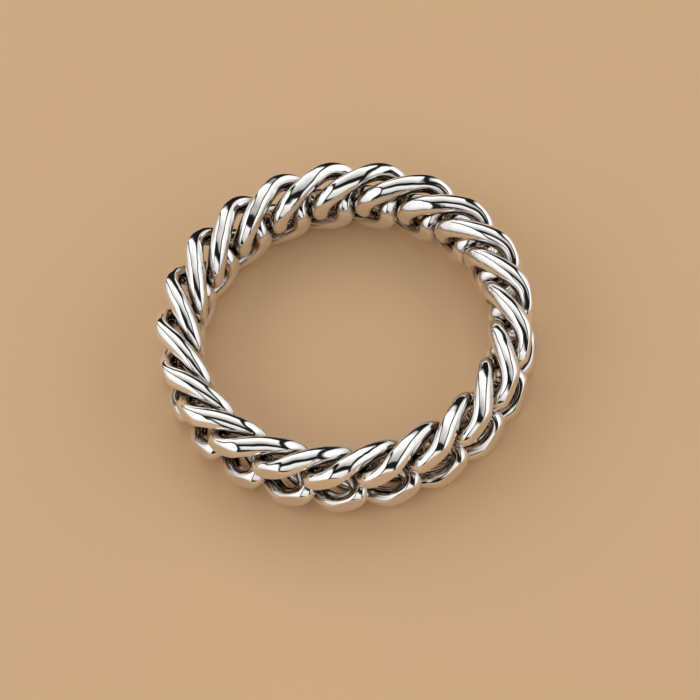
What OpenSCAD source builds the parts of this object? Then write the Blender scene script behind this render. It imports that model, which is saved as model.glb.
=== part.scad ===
// A finger ring of curb chain: 21 wire links, each threaded through its two neighbours,
// run once around the band. The band lies on its side with its axis along +Z, and it stands
// on z = 0. Its inside and its outside are ground to true cylinders, so the wire has flats there.

/* [Band] */
// Length of band that each link takes up, around the middle of the band
pitch = 3; // [3:0.01:3.04]
// Thickness of the band, between its two ground faces
band_t = 2.75; // [2.6:0.01:3]
// Turn of the first link from the +X side, in degrees
first_turn = -6.4; // [-17:0.1:17]

/* [Wire] */
// Diameter of the wire
wire_d = 1.12; // [0.9:0.01:1.13]

/* [Link outline] */
// Half the length of a link's centre line along the band
half_length = 2.75; // [2.73:0.01:2.76]
// How far the upper strand trails the lower one along the band, halved
lean = 0.81; // [0.79:0.01:0.83]
// How far that trail is gathered into the middle of the strands
lean_gather = 0.14; // [0.12:0.01:0.16]
// How far the link's ends are drawn in along the band
end_dent = 0.25; // [0.24:0.01:0.27]
// How far the ends' middles are drawn in beyond that, as flats
end_flat = 0.15; // [0.13:0.01:0.17]
// Half the height of a link's centre line, as an even oval
half_height = 1.62; // [1.6:0.01:1.64]
// How far the crest of each strand stands up from the oval
crest = 0.18; // [0.17:0.01:0.19]
// How far the crest of the upper strand moves along the band, and the lower one's against it
crest_skew = 0.22; // [0.2:0.01:0.24]

/* [Link twist] */
// How far a strand crosses from the outside of the band to its inside, halved
twist = 0.78; // [0.76:0.01:0.8]
// How far that crossing is gathered into the middle of the strand
twist_gather = 0.09; // [0.07:0.01:0.11]
// How far the link's ends lie inside the middle of its strands, halved
bow = 0.6; // [0.58:0.01:0.62]

/* [Hidden] */
link_count = 21;
section_count = 36;
corner_count = 10;

link_turn = 360 / link_count;
band_r = link_count * pitch / (2 * PI);
inner_r = band_r - band_t / 2;
outer_r = band_r + band_t / 2;
degree = 180 / PI;
small_turn = 0.5;

function link_name(i) = str("link_", i < 10 ? "0" : "", i);

function unit(v) = v / norm(v);

// The centre line at turn t around the link: its place along the band, up, and outward
function line_along(t) =
    half_length * cos(t) - end_dent * cos(3 * t) - end_flat * cos(5 * t)
    - lean * sin(t) + lean_gather * sin(3 * t);
function line_up(t) = half_height * sin(t) - crest * sin(3 * t) - crest_skew * cos(3 * t);
function line_out(t) = twist_gather * sin(4 * t) - twist * sin(2 * t) - bow * cos(2 * t);

// The same centre line bent around the band
function line_turn(t) = line_along(t) / band_r * degree;
function outward(t) = [cos(line_turn(t)), sin(line_turn(t)), 0];
function line_point(t) = (band_r + line_out(t)) * outward(t) + [0, 0, line_up(t)];
function heading(t) = unit(line_point(t + small_turn) - line_point(t - small_turn));

// A point of the wire's surface at angle a around it, ground back to the band's faces
function ground(p) =
    let (r = norm([p.x, p.y]), kept = max(inner_r, min(outer_r, r)) / r)
    [p.x * kept, p.y * kept, p.z];
function wire_point(t, a) =
    let (side = unit(cross(heading(t), outward(t))), rise = cross(side, heading(t)))
    ground(line_point(t) + wire_d / 2 * (sin(a) * side + cos(a) * rise));

link_points = [
    for (i = [0:section_count - 1]) for (j = [0:corner_count - 1])
        wire_point(i * 360 / section_count, 90 + j * 360 / corner_count)
];
link_faces = [
    for (i = [0:section_count - 1]) for (j = [0:corner_count - 1])
        let (
            next_i = (i + 1) % section_count,
            next_j = (j + 1) % corner_count,
            a = i * corner_count + j,
            b = next_i * corner_count + j,
            c = next_i * corner_count + next_j,
            d = i * corner_count + next_j
        )
        each [[a, b, c], [a, c, d]]
];
stand_height = -min([for (p = link_points) p.z]);

module chain_link(i) {
    color("silver")
        rotate(first_turn + (i - 1) * link_turn)
            translate([0, 0, stand_height])
                polyhedron(link_points, link_faces, convexity = 6);
}

for (i = [1:link_count])
    chain_link(i);
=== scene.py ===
# %% [markdown]
# A finger ring of curb chain in polished silver. It is 21 wire links, each threaded through
# its two neighbours, run once around the band. After assembly the band was ground inside and
# outside, so every link has flats there, and then the whole ring was buffed to a mirror.
#
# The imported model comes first: it is the fixed frame that everything else is fitted to.

# %% Load the frame
import math
import bpy
import numpy as np
from mathutils import Matrix, Vector


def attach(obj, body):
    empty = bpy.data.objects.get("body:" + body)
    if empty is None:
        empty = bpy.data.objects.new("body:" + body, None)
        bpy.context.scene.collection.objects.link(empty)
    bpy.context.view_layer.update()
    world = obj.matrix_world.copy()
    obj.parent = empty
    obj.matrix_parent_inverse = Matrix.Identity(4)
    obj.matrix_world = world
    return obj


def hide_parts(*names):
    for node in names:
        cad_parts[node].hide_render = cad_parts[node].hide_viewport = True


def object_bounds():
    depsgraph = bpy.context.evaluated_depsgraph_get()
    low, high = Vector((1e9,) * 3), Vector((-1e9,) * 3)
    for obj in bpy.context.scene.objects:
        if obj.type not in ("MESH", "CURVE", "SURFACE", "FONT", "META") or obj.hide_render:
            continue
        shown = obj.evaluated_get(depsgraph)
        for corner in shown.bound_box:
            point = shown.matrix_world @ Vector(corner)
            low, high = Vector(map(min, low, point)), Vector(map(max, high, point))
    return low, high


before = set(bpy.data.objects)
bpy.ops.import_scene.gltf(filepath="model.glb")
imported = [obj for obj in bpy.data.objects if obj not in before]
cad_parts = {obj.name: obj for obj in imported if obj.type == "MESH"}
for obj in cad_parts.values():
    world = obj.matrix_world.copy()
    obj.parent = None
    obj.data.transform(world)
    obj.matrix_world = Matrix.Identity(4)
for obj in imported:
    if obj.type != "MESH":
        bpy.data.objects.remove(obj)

cad_low, cad_high = [list(corner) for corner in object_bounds()]
print("solid model, mm:", [round((b - a) * 1000, 2) for a, b in zip(cad_low, cad_high)])

# %% [markdown]
# The ring's sizes are kept in millimetres, as a jeweller gives them, and turned into metres
# only when a mesh is made. The links' names and the band's height come from the frame. The wire
# is 0.08 mm thicker than the solid model's, whose loose links have to stay clear of each other.
# Buffing took a few thousandths of a millimetre more off the ground faces, so the finished faces
# lie just inside the solid model's.

# %% Sizes of the band and its wire
MM = 0.001
LINK_NAMES = sorted(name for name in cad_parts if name.startswith("link_"))
PITCH = 3.0
BAND_THICKNESS = 2.75
WIRE_DIAMETER = 1.2
BUFFED_OFF = 0.005
FIRST_TURN = math.radians(-6.4)

LINK_TURN = 2 * math.pi / len(LINK_NAMES)
BAND_RADIUS = len(LINK_NAMES) * PITCH / (2 * math.pi)
INNER_RADIUS = BAND_RADIUS - BAND_THICKNESS / 2 + BUFFED_OFF
OUTER_RADIUS = BAND_RADIUS + BAND_THICKNESS / 2 - BUFFED_OFF
BAND_HEIGHT = (cad_high[2] - cad_low[2]) / MM
print(len(LINK_NAMES), "links on a radius of", round(BAND_RADIUS, 2), "mm")

# %% [markdown]
# A curb link starts as an oval of round wire. It is then twisted, so that its upper strand
# crosses from the outside of the band to its inside and its lower strand crosses back. Two
# such links lie flat in each other. The centre line is one closed curve of a turn from 0 to
# 360 degrees, given as sums of sines and cosines, because such a curve has no corners for the
# polish to show up.
#
# The first number of each group below makes an even oval or twist, and the rest bend it. The
# upper strand trails the lower one, the ends are drawn in and flattened, the crests stand up and
# lean, the crossing is gathered, and the ends bow toward the finger.

# %% The centre line of a link
HALF_LENGTH, END_DENT, END_FLAT = 2.75, 0.25, 0.15
LEAN, LEAN_GATHER = 0.81, 0.14
HALF_HEIGHT, CREST, CREST_SKEW = 1.62, 0.18, 0.22
TWIST, TWIST_GATHER, BOW = 0.78, 0.09, 0.60


def centre_line(turn):
    """Place along the band, upward and outward of the wire's centre at each turn, in mm.
    Along is the oval's cosine less its third and fifth harmonics, and the lean is the two sines.
    Upward is the oval's sine less third harmonics. Outward is second and fourth harmonics."""
    along = HALF_LENGTH * np.cos(turn) - END_DENT * np.cos(3 * turn) - END_FLAT * np.cos(5 * turn)
    along = along - LEAN * np.sin(turn) + LEAN_GATHER * np.sin(3 * turn)
    upward = HALF_HEIGHT * np.sin(turn) - CREST * np.sin(3 * turn) - CREST_SKEW * np.cos(3 * turn)
    outward = TWIST_GATHER * np.sin(4 * turn) - TWIST * np.sin(2 * turn) - BOW * np.cos(2 * turn)
    return along, upward, outward


def bent_line(turn, place=0.0):
    """The centre line bent around the band, with the link moved on by a number of places.
    The place along the band becomes an angle, and the place outward adds to the radius."""
    along, upward, outward = centre_line(turn)
    angle = along / BAND_RADIUS + place * LINK_TURN
    radius = BAND_RADIUS + outward
    return np.stack([radius * np.cos(angle), radius * np.sin(angle), upward], axis=-1)


sample = bent_line(np.linspace(0, 2 * math.pi, 400))
wire_length = np.linalg.norm(np.diff(sample, axis=0), axis=1).sum()
print("wire in one link:", round(float(wire_length), 1), "mm")

# %% [markdown]
# The wire's surface is a circle carried along the centre line. The circle needs two directions
# at right angles to the line. One is taken level with the band's face and the other points away
# from the finger hole, so the wire has no twist of its own.
#
# Grinding is done with a soft limit on the distance from the band's axis. A hard limit gives
# razor edges that no buffed ring has, while a soft one rolls each edge over by a few hundredths
# of a millimetre, and that rounding is what catches the light around each flat.

# %% The surface of the wire
SECTIONS = 264
CORNERS = 96
EDGE_ROUNDING = 0.04


def unit(vectors):
    """Vectors scaled to a length of 1."""
    return vectors / np.linalg.norm(vectors, axis=-1, keepdims=True)


def ground(points):
    """Points moved toward or away from the band's axis so that none lies outside its faces.
    The excess over a face is taken off by a softplus, which is a limit with a rounded edge."""
    radius = np.linalg.norm(points[..., :2], axis=-1)
    over = EDGE_ROUNDING * np.logaddexp(0, (radius - OUTER_RADIUS) / EDGE_ROUNDING)
    under = EDGE_ROUNDING * np.logaddexp(0, (INNER_RADIUS - radius) / EDGE_ROUNDING)
    kept = (radius - over + under) / radius
    return points * np.stack([kept, kept, np.ones_like(kept)], axis=-1), over + under


def wire_grid():
    """The wire's points on a grid of sections by corners, with the way each one faces and what
    was ground off it. A point is the centre line's plus the wire's radius times its facing."""
    turn = np.arange(SECTIONS) * 2 * math.pi / SECTIONS
    around = np.arange(CORNERS) * 2 * math.pi / CORNERS
    step = 1e-3
    line = bent_line(turn)
    heading = unit(bent_line(turn + step) - bent_line(turn - step))
    away = unit(line * np.array([1.0, 1.0, 0.0]))
    side = unit(np.cross(heading, away))
    rise = np.cross(side, heading)
    facing = np.cos(around)[None, :, None] * rise[:, None]
    facing = facing + np.sin(around)[None, :, None] * side[:, None]
    points, removed = ground(line[:, None] + WIRE_DIAMETER / 2 * facing)
    return line, facing, points, removed


line, facing, points, removed = wire_grid()
low, high = points[..., 2].min(), points[..., 2].max()
points[..., 2] = (points[..., 2] - low) * BAND_HEIGHT / (high - low)
print("ground off at most", round(float(removed.max()), 2), "mm")
print("band height", round(BAND_HEIGHT, 2), "mm")

# %% [markdown]
# The finish isn't the same all over a link. Flats show the wheel's marks, and deep between the
# wires the colour is darkened as painted shade, where the wires shade each other. Both are worked
# out per point and stored as attributes, along with a place on the wire that runs with it: marks
# drawn along the wire follow every bend.
#
# How deep a point lies is the share of its outlook that wires fill. A short piece of wire fills
# its own width times its length, over the square of its distance, and less at a slant. This share
# sets how much painted shade a point gets.

# %% Where each point lies on the wire
SHELTER_PIECES = 160
FLAT_DEPTH = 0.02


def smooth_step(low_edge, high_edge, value):
    """0 below the low edge, 1 above the high edge, and an even S between them."""
    share = np.clip((value - low_edge) / (high_edge - low_edge), 0, 1)
    return share * share * (3 - 2 * share)


def wire_places(line):
    """A place for each point: its offset on the wire's round section, and its distance along."""
    length = np.concatenate([[0], np.cumsum(np.linalg.norm(np.diff(line, axis=0), axis=1))])
    around = np.arange(CORNERS) * 2 * math.pi / CORNERS
    place = np.empty((SECTIONS, CORNERS, 3))
    place[..., 0] = WIRE_DIAMETER / 2 * np.cos(around)
    place[..., 1] = WIRE_DIAMETER / 2 * np.sin(around)
    place[..., 2] = length[:, None]
    return place


def shelter(points, facing):
    """The share of each point's outlook that wires fill, from 0 in the open to 1 closed in.
    Short pieces of wire of this link and of two neighbours on each side are added up."""
    turn = np.linspace(0, 2 * math.pi, SHELTER_PIECES, endpoint=False)
    filled = np.zeros(points.shape[:2])
    for place in (-2, -1, 0, 1, 2):
        wire = bent_line(turn, place)
        length = np.linalg.norm(np.roll(wire, -1, axis=0) - wire, axis=1)
        wire[:, 2] -= low
        for centre, piece_length in zip(wire, length):
            toward = centre - points
            distance = np.linalg.norm(toward, axis=-1)
            slant = np.maximum((toward * facing).sum(axis=-1) / distance, 0)
            reach = np.maximum(distance, WIRE_DIAMETER / 2)
            filled += slant * WIRE_DIAMETER * piece_length / (math.pi * reach ** 2)
    return np.clip(filled, 0, 1)


place_on_wire = wire_places(line)
flat_share = smooth_step(0.0, FLAT_DEPTH, removed)
# This share sets where painted shade darkens the silver's colour.
shelter_share = shelter(points, facing)
print("flats cover", round(float(flat_share.mean()) * 100), "% of a link")
print("sheltered by half or more:", round(float((shelter_share > 0.5).mean()) * 100), "% of a link")

# %% [markdown]
# A shader's maths is easier to read as ordinary expressions. This small class wraps a socket,
# and each operator adds the Math node that it stands for.

# %% Sockets that can be added and multiplied
class Wire:
    """A node socket that Python's arithmetic works on."""

    def __init__(self, tree, socket):
        self.tree, self.socket = tree, socket

    def node(self, kind, settings=None, inputs=None):
        """A new node of this kind. Its settings are set first, then its sockets' values."""
        made = self.tree.nodes.new(kind)
        for name, value in (settings or {}).items():
            setattr(made, name, value)
        for name, value in (inputs or {}).items():
            if isinstance(value, Wire):
                self.tree.links.new(value.socket, made.inputs[name])
            else:
                made.inputs[name].default_value = value
        return made

    def maths(self, operation, *values):
        """The result of a Math node with this operation on these values or sockets."""
        made = self.node("ShaderNodeMath", {"operation": operation}, dict(enumerate(values)))
        return Wire(self.tree, made.outputs[0])

    def __add__(self, other):
        return self.maths("ADD", self, other)

    def __sub__(self, other):
        return self.maths("SUBTRACT", self, other)

    def __rsub__(self, other):
        return self.maths("SUBTRACT", other, self)

    def __mul__(self, other):
        return self.maths("MULTIPLY", self, other)

    __radd__, __rmul__ = __add__, __mul__

    def stepped(self, low_edge, high_edge):
        """0 below the low edge, 1 above the high edge, smooth between."""
        inputs = {"Value": self, "From Min": low_edge, "From Max": high_edge}
        made = self.node("ShaderNodeMapRange", {"interpolation_type": "SMOOTHSTEP"}, inputs)
        return Wire(self.tree, made.outputs["Result"])

    def stretched(self, scale):
        """This vector with each of its parts multiplied by its own number."""
        made = self.node("ShaderNodeVectorMath", {"operation": "MULTIPLY"}, {0: self, 1: scale})
        return Wire(self.tree, made.outputs[0])

    def noise(self, scale, detail=2.0, roughness=0.5):
        """Noise read at this vector."""
        inputs = {"Vector": self, "Scale": scale, "Detail": detail, "Roughness": roughness}
        return Wire(self.tree, self.node("ShaderNodeTexNoise", None, inputs).outputs["Fac"])

    def blend(self, first, second):
        """The first colour where this is 0, the second where it is 1."""
        inputs = {"Factor": self, 6: first, 7: second}
        made = self.node("ShaderNodeMix", {"data_type": "RGBA"}, inputs)
        return Wire(self.tree, made.outputs[2])


def new_material(name):
    """An empty material with its shader, its starting wire, and its output joined."""
    material = bpy.data.materials.new(name)
    material.use_nodes = True
    tree = material.node_tree
    shader = next(n for n in tree.nodes if n.type == "BSDF_PRINCIPLED")
    return material, tree, shader, Wire(tree, None)


def attribute(start, name, output="Fac"):
    """The mesh attribute of this name, as a wire."""
    made = start.node("ShaderNodeAttribute", {"attribute_name": name})
    return Wire(start.tree, made.outputs[output])


print("shader helpers ready")

# %% [markdown]
# Polished silver is nearly a mirror. What makes it read as metal, and not as chrome in a
# drawing, are small faults: lengthwise marks from the drawplate, a few buffing scratches, and marks
# of the wheel on the flats. Its colour also carries painted shade: a warm dark brown where wires
# close in around a point, standing for the shade that falls deep between them. The painted shade
# lies in streaks along the wire, with plain silver between them. Hand polishing also leaves the
# surface a little uneven, which makes the reflections waver.
#
# The heights of these faults are in units of the bump's depth, four thousandths of a millimetre.
# Their noise is sized in cells: to a millimetre of the place on the wire for drawn marks and
# streaks, and to a metre of the place in space for the others.

# %% Polished silver
SILVER_COLOUR = (0.955, 0.945, 0.93, 1)
# The colour below is painted shade, the warm dark brown laid where wires close in around a point.
PAINTED_SHADE_COLOUR = (0.17, 0.13, 0.095, 1)
# The last roughness below is added where the painted shade lies.
POLISHED_ROUGHNESS, SMEAR_ROUGHNESS, WHEEL_ROUGHNESS, PAINTED_SHADE_ROUGHNESS = 0.045, 0.05, 0.05, 0.03
BUMP_STRENGTH, BUMP_DEPTH = 0.35, 0.000004
DRAWN_HEIGHT, WHEEL_HEIGHT, SCRATCH_HEIGHT, UNEVEN_HEIGHT = 0.35, 0.5, 0.5, 80.0
DRAWN_CELLS, STREAK_CELLS = (14.0, 14.0, 0.7), (6.0, 6.0, 0.3)
WHEEL_CELLS, SCRATCH_CELLS = (300.0, 300.0, 14000.0), (2500.0, 9000.0, 4000.0)
SMEAR_CELLS, UNEVEN_CELLS = 900.0, 650.0
# The least share of painted shade, laid between its streaks.
LEAST_PAINTED_SHADE = 0.3


def polished_silver():
    """A mirror metal. Its painted shade is the depth's share, from the least to the whole with the
    streaks' noise, and its bump is the sum of each kind of mark times that mark's height."""
    material, tree, shader, start = new_material("polished_silver")
    on_wire = attribute(start, "place_on_wire", "Vector")
    flat = attribute(start, "flat_share")
    deep = attribute(start, "shelter_share")
    coordinates = start.node("ShaderNodeTexCoord")
    place = Wire(tree, coordinates.outputs["Object"])

    drawn = on_wire.stretched(DRAWN_CELLS).noise(1.0, 3.0, 0.6)
    wheel = place.stretched(WHEEL_CELLS).noise(1.0, 2.0, 0.6)
    scratches = place.stretched(SCRATCH_CELLS).noise(1.0, 2.0, 0.7).stepped(0.66, 0.72)
    smears = place.noise(SMEAR_CELLS, 3.0, 0.55)
    uneven = place.noise(UNEVEN_CELLS, 1.0, 0.4)

    # Painted shade: the colour turns dark brown where wires close in around a point, broken into
    # streaks.
    streaks = on_wire.stretched(STREAK_CELLS).noise(1.0, 2.0, 0.55).stepped(0.42, 0.60)
    painted_shade = deep.stepped(0.34, 0.88) * (LEAST_PAINTED_SHADE + (1 - LEAST_PAINTED_SHADE) * streaks)
    colour = painted_shade.blend(SILVER_COLOUR, PAINTED_SHADE_COLOUR)
    roughness = POLISHED_ROUGHNESS + SMEAR_ROUGHNESS * smears.stepped(0.45, 0.75)
    roughness = roughness + WHEEL_ROUGHNESS * flat * wheel + PAINTED_SHADE_ROUGHNESS * painted_shade
    height = drawn * (1 - flat) * DRAWN_HEIGHT + wheel * flat * WHEEL_HEIGHT
    height = height - scratches * SCRATCH_HEIGHT + uneven * UNEVEN_HEIGHT
    inputs = {"Strength": BUMP_STRENGTH, "Distance": BUMP_DEPTH, "Height": height}
    bump = start.node("ShaderNodeBump", None, inputs)

    tree.links.new(colour.socket, shader.inputs["Base Color"])
    tree.links.new(roughness.socket, shader.inputs["Roughness"])
    tree.links.new(bump.outputs["Normal"], shader.inputs["Normal"])
    shader.inputs["Metallic"].default_value = 1.0
    return material


silver = polished_silver()
print("material:", silver.name)

# %% [markdown]
# All the links are the same, so one grid of points is made and turned into each place around
# the band. The grid closes on itself both ways, along the wire and around it. Each link's place
# on the wire is shifted by its own amount, so that no two links have the same marks.

# %% The links
MARKS_SHIFT = 7.0


def closed_grid_faces(rows, columns):
    """Four-cornered faces of a grid whose last row and column join its first."""
    row, column = np.meshgrid(np.arange(rows), np.arange(columns), indexing="ij")
    next_row, next_column = (row + 1) % rows, (column + 1) % columns
    corners = [row * columns + column, next_row * columns + column]
    corners += [next_row * columns + next_column, row * columns + next_column]
    return np.stack(corners, axis=-1).reshape(-1, 4)


def turned(points, angle):
    """Points turned about the band's axis by this angle."""
    c, s = math.cos(angle), math.sin(angle)
    return points @ np.array([[c, s, 0.0], [-s, c, 0.0], [0.0, 0.0, 1.0]])


def store(mesh, name, values, kind="FLOAT"):
    """One value or vector per point, kept in the mesh under this name."""
    made = mesh.attributes.new(name, kind, "POINT")
    made.data.foreach_set("vector" if kind == "FLOAT_VECTOR" else "value", np.ravel(values))


def polished_link(node_name, number, faces):
    """One link as a mesh in its place, standing for the solid of the same name."""
    mesh = bpy.data.meshes.new("polished_" + node_name)
    placed = turned(points.reshape(-1, 3), FIRST_TURN + number * LINK_TURN) * MM
    mesh.from_pydata(placed, [], faces)
    mesh.polygons.foreach_set("use_smooth", np.ones(len(faces), bool))
    store(mesh, "place_on_wire", place_on_wire + number * MARKS_SHIFT, "FLOAT_VECTOR")
    store(mesh, "flat_share", flat_share)
    store(mesh, "shelter_share", shelter_share)
    mesh.materials.append(silver)
    piece = bpy.data.objects.new("polished_" + node_name, mesh)
    bpy.context.collection.objects.link(piece)
    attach(piece, "root")
    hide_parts(node_name)
    return piece


faces = closed_grid_faces(SECTIONS, CORNERS)
links = [polished_link(name, number, faces) for number, name in enumerate(LINK_NAMES)]
print("triangles in all:", 2 * len(faces) * len(links))

# %% [markdown]
# The ring lies on a plain pale floor, large enough to fill every view.

# %% The floor
FLOOR_HALF = 0.6
FLOOR_COLOUR = (0.91, 0.595, 0.335, 1)
FLOOR_ROUGHNESS = 0.7


def add_floor():
    """A flat square under the ring, as part of the stage."""
    mesh = bpy.data.meshes.new("floor")
    signs = [(-1, -1), (1, -1), (1, 1), (-1, 1)]
    corners = [(FLOOR_HALF * x, FLOOR_HALF * y, 0) for x, y in signs]
    mesh.from_pydata(corners, [], [(0, 1, 2, 3)])
    material, _, shader, _ = new_material("pale_floor")
    shader.inputs["Base Color"].default_value = FLOOR_COLOUR
    shader.inputs["Roughness"].default_value = FLOOR_ROUGHNESS
    mesh.materials.append(material)
    made = bpy.data.objects.new("floor", mesh)
    bpy.context.collection.objects.link(made)


add_floor()
print("floor set,", round(2 * FLOOR_HALF, 1), "m across")

# %% [markdown]
# The camera looks down on the ring at 57.5 degrees, rolled a little, from far enough away that
# the far side is hardly smaller than the near side. A long lens does that.

# %% The camera
ELEVATION = math.radians(57.5)
ROLL = math.radians(-8.8)
DISTANCE = 250.0
PICTURE = 700
PIXELS_PER_MM = 16.5
RING_CENTRE_X, RING_CENTRE_Y = 346.1, 333.5
SENSOR_WIDTH = 36


def add_camera():
    """A camera on the near side. It is aimed at the middle of the band, then moved across its own
    view until the ring's centre lies at its place in the picture."""
    back = Vector((0, -math.cos(ELEVATION), math.sin(ELEVATION)))
    level = Vector((1, 0, 0))
    up = back.cross(level)
    right = level * math.cos(ROLL) + up * math.sin(ROLL)
    above = up * math.cos(ROLL) - level * math.sin(ROLL)
    aim = Vector((0, 0, BAND_HEIGHT / 2))
    aim += right * (PICTURE / 2 - RING_CENTRE_X) / PIXELS_PER_MM
    aim -= above * (PICTURE / 2 - RING_CENTRE_Y) / PIXELS_PER_MM
    data = bpy.data.cameras.new("camera")
    data.sensor_width = SENSOR_WIDTH
    data.lens = SENSOR_WIDTH * PIXELS_PER_MM * DISTANCE / PICTURE
    data.clip_start, data.clip_end = 0.01, 10
    camera = bpy.data.objects.new("camera", data)
    columns = Matrix((right, above, back)).transposed().to_4x4()
    camera.matrix_world = Matrix.Translation((aim + back * DISTANCE) * MM) @ columns
    bpy.context.collection.objects.link(camera)
    bpy.context.scene.camera = camera


add_camera()
print("camera set")

# %% [markdown]
# Metal shows its surroundings, so the studio is a dome of large soft white strips with dark gaps
# between them. The strips give the broad white bands, and the gaps the dark lines along each
# wire. A place on the dome has two numbers. One is its angle over the ring, from 0 at the front
# edge through 90 overhead to 180 at the back edge. The other is how far it lies to either side.
# The strips hang at a slant, so a dark gap runs along a wire and doesn't cross it as a block.
#
# Each strip below has its two edges and then how soft each edge is. Those of the front and back
# strips are angles over the ring, and those of the middle and the side gap are places across it.
# The side strips' edges are angles of height. Each glow is a strip's brightness at 0 degrees and
# what every degree adds to it.

# %% The light
FRONT_STRIP, FRONT_GLOW = (9, 52, 4, 5), (0.52, 0.01)
BACK_STRIP, BACK_GLOW = (82, 155, 3, 8), (-0.95, 0.016)
SIDE_STRIPS, SIDE_GLOW = (3, 72, 2.5, 4), (0.6, 0.015)
MIDDLE = (-0.46, 0.43, 0.03, 0.03)
SIDE_GAP = (-0.56, 0.60, 0.03, 0.04)
SLANT = 45
GAP_LIGHT = 0.012
LAMP_COLOUR = (1, 0.985, 0.965, 1)


def strip(value, low_edge, high_edge, low_soft, high_soft):
    """1 between two edges and 0 outside them. Each edge is blurred that far to both its sides."""
    above = value.stepped(low_edge - low_soft, low_edge + low_soft)
    return above * (1 - value.stepped(high_edge - high_soft, high_edge + high_soft))


def glow(value, at_zero, each_degree):
    """A brightness that grows evenly with an angle."""
    return at_zero + value * each_degree


def studio_dome():
    """A dome lit by strips. The front and back strips brighten with the angle over the ring, and
    they end at the middle's edges. The side strips brighten with height."""
    world = bpy.data.worlds.new("studio")
    world.use_nodes = True
    tree = world.node_tree
    start = Wire(tree, None)
    coordinates = start.node("ShaderNodeTexCoord")
    toward = Wire(tree, coordinates.outputs["Generated"])
    parts = start.node("ShaderNodeSeparateXYZ", None, {"Vector": toward})
    x, y, z = (Wire(tree, parts.outputs[name]) for name in "XYZ")
    over = start.maths("ARCTAN2", z, y * -1) * math.degrees(1) + x * SLANT
    height = start.maths("ARCSINE", z) * math.degrees(1)

    front = glow(over, *FRONT_GLOW) * strip(over, *FRONT_STRIP)
    back = glow(over, *BACK_GLOW) * strip(over, *BACK_STRIP)
    middle = (front + back) * strip(x, *MIDDLE)
    sides = (1 - strip(x, *SIDE_GAP)) * strip(height, *SIDE_STRIPS)
    light = middle + sides * glow(height, *SIDE_GLOW) + GAP_LIGHT
    background = next(n for n in tree.nodes if n.type == "BACKGROUND")
    tree.links.new(light.socket, background.inputs["Strength"])
    background.inputs["Color"].default_value = LAMP_COLOUR
    return world


bpy.context.scene.world = studio_dome()
bpy.context.scene.view_settings.view_transform = "Standard"
print("light set")
